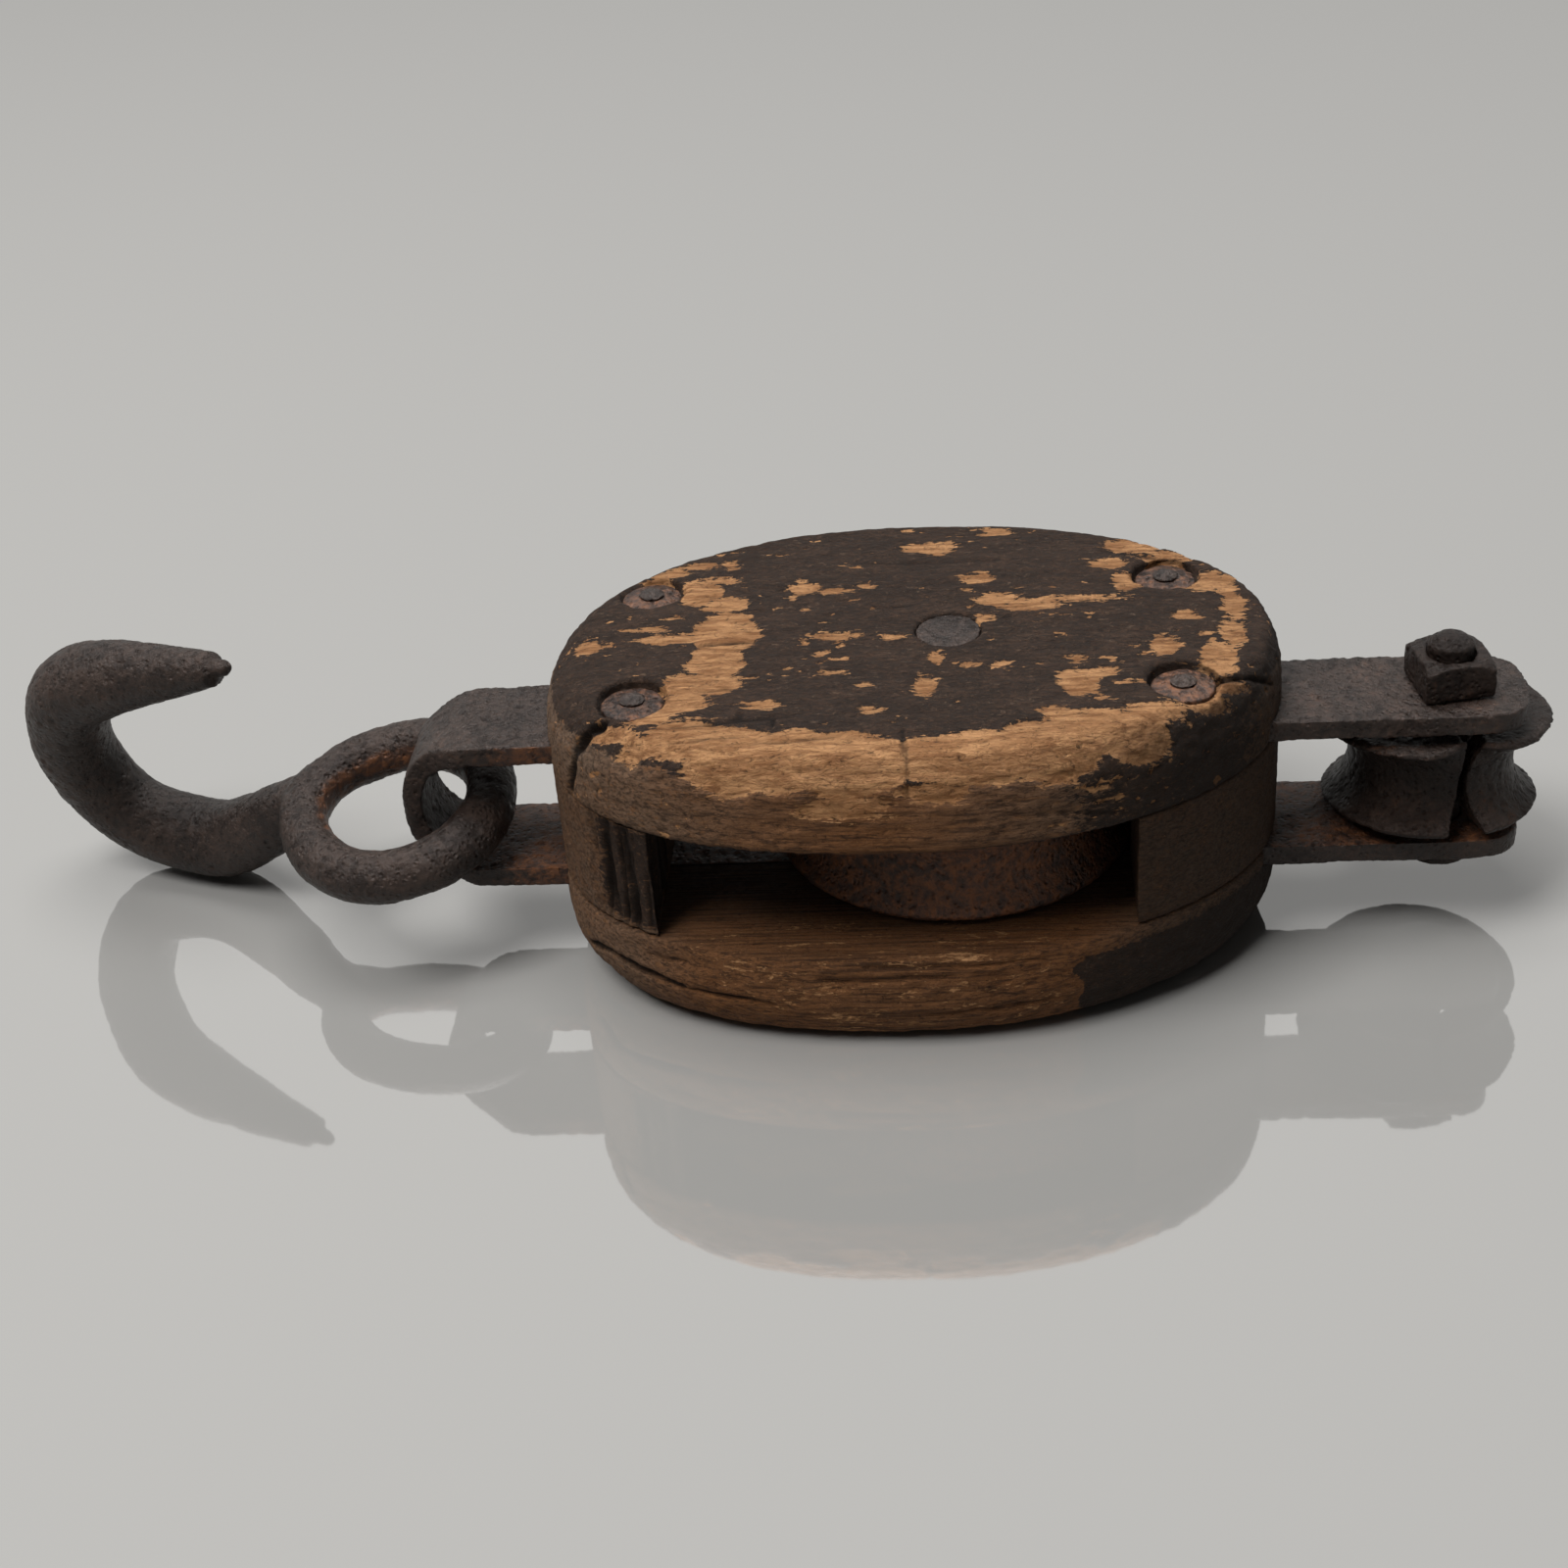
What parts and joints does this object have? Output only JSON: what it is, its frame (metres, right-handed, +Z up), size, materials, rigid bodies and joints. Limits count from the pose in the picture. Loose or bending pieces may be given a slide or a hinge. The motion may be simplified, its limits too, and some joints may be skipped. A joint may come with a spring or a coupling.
{
  "type": "wooden pulley block",
  "caption": "Single-sheave wooden pulley block with an internal iron strap, a loose swivelling hook at one end and a rope thimble on a bolt at the other.",
  "frame": {"origin": "on the flat of the lower cheek, under the middle of the block between the legs of its strap", "axes": "+X along the block towards the bolt and thimble, -X towards the hook, +Y across the block away from the viewer, +Z up from the lower cheek to the upper one"},
  "size_m": [0.3321, 0.0993, 0.0696],
  "materials": {
    "painted_wood": "weathered dark paint worn through to bare wood",
    "dark_wood": "dark eroded wood",
    "forged_iron": "dark pitted forged iron",
    "rusty_iron": "brown rusted iron"
  },
  "bodies": {
    "shell": {"upper_cheek": "painted_wood", "lower_cheek": "painted_wood", "swallow_spacer": "dark_wood", "breech_spacer": "dark_wood", "strap": "forged_iron", "sheave_pin": "forged_iron", "hook_end_front_rivet": "forged_iron", "hook_end_back_rivet": "forged_iron", "becket_end_front_rivet": "forged_iron", "becket_end_back_rivet": "forged_iron", "hook_end_front_rove": "rusty_iron", "hook_end_back_rove": "rusty_iron", "becket_end_front_rove": "rusty_iron", "becket_end_back_rove": "rusty_iron", "becket_bolt": "forged_iron", "becket_nut": "forged_iron"},
    "sheave": {"sheave": "rusty_iron"},
    "thimble": {"becket_thimble": "forged_iron"},
    "hook": {"hook": "forged_iron"}
  },
  "joints": [
    {"name": "sheave_spin", "type": "hinge", "parent": "shell", "child": "sheave", "pos_m": [0.0087, 0, 0.0348], "axis": [0, 0, 1], "continuous": true},
    {"name": "thimble_spin", "type": "hinge", "parent": "shell", "child": "thimble", "pos_m": [0.1088, 0.0056, 0.03336], "axis": [0, 0.0993, 0.9951], "continuous": true},
    {"name": "hook_swing", "type": "hinge", "parent": "shell", "child": "hook", "pos_m": [-0.091, 0, 0.0348], "axis": [0, 1, 0], "range_deg": [0, 55]}
  ]
}
